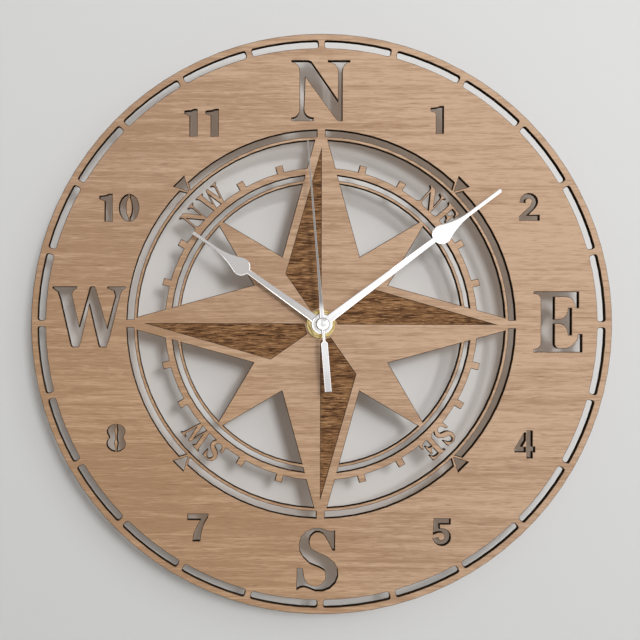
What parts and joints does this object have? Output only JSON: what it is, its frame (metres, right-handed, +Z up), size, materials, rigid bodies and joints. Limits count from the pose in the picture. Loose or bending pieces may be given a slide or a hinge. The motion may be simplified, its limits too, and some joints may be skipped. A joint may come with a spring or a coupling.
{
  "type": "wall clock",
  "caption": "Round wall clock with a pierced wooden compass dial, metal hands and a battery quartz movement behind it.",
  "frame": {"origin": "on the hands' axis, in the plane of the wall that the movement's rear cover rests on", "axes": "-Y towards the viewer, along the hands' axis; +X to the viewer's right; +Z up, towards N"},
  "size_m": [0.3, 0.0331, 0.2999],
  "materials": {
    "oak": "laser-cut veneered board, matt",
    "silver": "bright satin",
    "brass": "polished",
    "steel": "rolled",
    "plated": "nickel plated",
    "black": "moulded, fine grain",
    "natural": "moulded, unfilled",
    "rubber": "matt",
    "magnet": "sintered",
    "copper": "enamelled wire",
    "board": "solder resist",
    "cell": "printed sleeve"
  },
  "bodies": {
    "clock_base": {"dial": "oak", "hex_nut": "brass", "brass_washer": "brass", "threaded_bush": "brass", "rubber_washer": "rubber", "hanger": "steel", "case_front": "black", "case_rear": "black", "train_bridge": "natural", "stator": "steel", "coil_core": "steel", "coil_bobbin": "natural", "coil_winding": "copper", "circuit_board": "board", "quartz_crystal": "plated", "chip": "black", "battery_contact_positive": "plated", "battery_contact_negative": "plated"},
    "seconds": {"second_hand": "silver", "second_hand_cap": "silver", "seconds_arbor": "steel", "seconds_wheel": "natural"},
    "rotor": {"rotor_pinion": "natural", "rotor_magnet": "magnet"},
    "intermediate": {"intermediate_wheel": "natural"},
    "third": {"third_wheel": "natural"},
    "centre": {"centre_gear": "natural"},
    "minutes": {"minute_hand": "silver", "minute_nut": "brass", "minute_pipe": "steel"},
    "motion": {"motion_wheel": "natural"},
    "hours": {"hour_hand": "silver", "hour_wheel": "natural"},
    "knob": {"setting_knob": "black"},
    "battery": {"battery_cell": "cell"}
  },
  "joints": [
    {"name": "second_hand_spin", "type": "hinge", "parent": "clock_base", "child": "seconds", "pos_m": [0, 0, 0], "axis": [0, 1, 0], "continuous": true},
    {"name": "rotor_spin", "type": "hinge", "parent": "clock_base", "child": "rotor", "pos_m": [-0.01119, 0, 0.01495], "axis": [0, 1, 0], "continuous": true},
    {"name": "intermediate_spin", "type": "hinge", "parent": "clock_base", "child": "intermediate", "pos_m": [-0.00391, 0, 0.01075], "axis": [0, 1, 0], "continuous": true},
    {"name": "third_spin", "type": "hinge", "parent": "clock_base", "child": "third", "pos_m": [0.01033, 0, 0.00376], "axis": [0, 1, 0], "continuous": true},
    {"name": "centre_gear_spin", "type": "hinge", "parent": "clock_base", "child": "centre", "pos_m": [0, 0, 0], "axis": [0, 1, 0], "continuous": true},
    {"name": "minute_hand_spin", "type": "hinge", "parent": "clock_base", "child": "minutes", "pos_m": [0, 0, 0], "axis": [0, 1, 0], "continuous": true},
    {"name": "motion_spin", "type": "hinge", "parent": "clock_base", "child": "motion", "pos_m": [-0.00886, 0, -0.00156], "axis": [0, 1, 0], "continuous": true},
    {"name": "hour_hand_spin", "type": "hinge", "parent": "clock_base", "child": "hours", "pos_m": [0, 0, 0], "axis": [0, 1, 0], "continuous": true},
    {"name": "knob_spin", "type": "hinge", "parent": "clock_base", "child": "knob", "pos_m": [-0.01773, 0, 0], "axis": [0, 1, 0], "continuous": true},
    {"name": "battery_lift", "type": "slide", "parent": "clock_base", "child": "battery", "axis": [0, 1, 0], "range_m": [0, 0.025]}
  ],
  "couplings": [
    {"joint": "rotor_spin", "follows": "second_hand_spin", "ratio": 30},
    {"joint": "intermediate_spin", "follows": "second_hand_spin", "ratio": -5},
    {"joint": "third_spin", "follows": "second_hand_spin", "ratio": -0.13333},
    {"joint": "centre_gear_spin", "follows": "second_hand_spin", "ratio": 0.016667},
    {"joint": "motion_spin", "follows": "minute_hand_spin", "ratio": -0.33333},
    {"joint": "hour_hand_spin", "follows": "minute_hand_spin", "ratio": 0.083333},
    {"joint": "knob_spin", "follows": "minute_hand_spin", "ratio": 1}
  ]
}
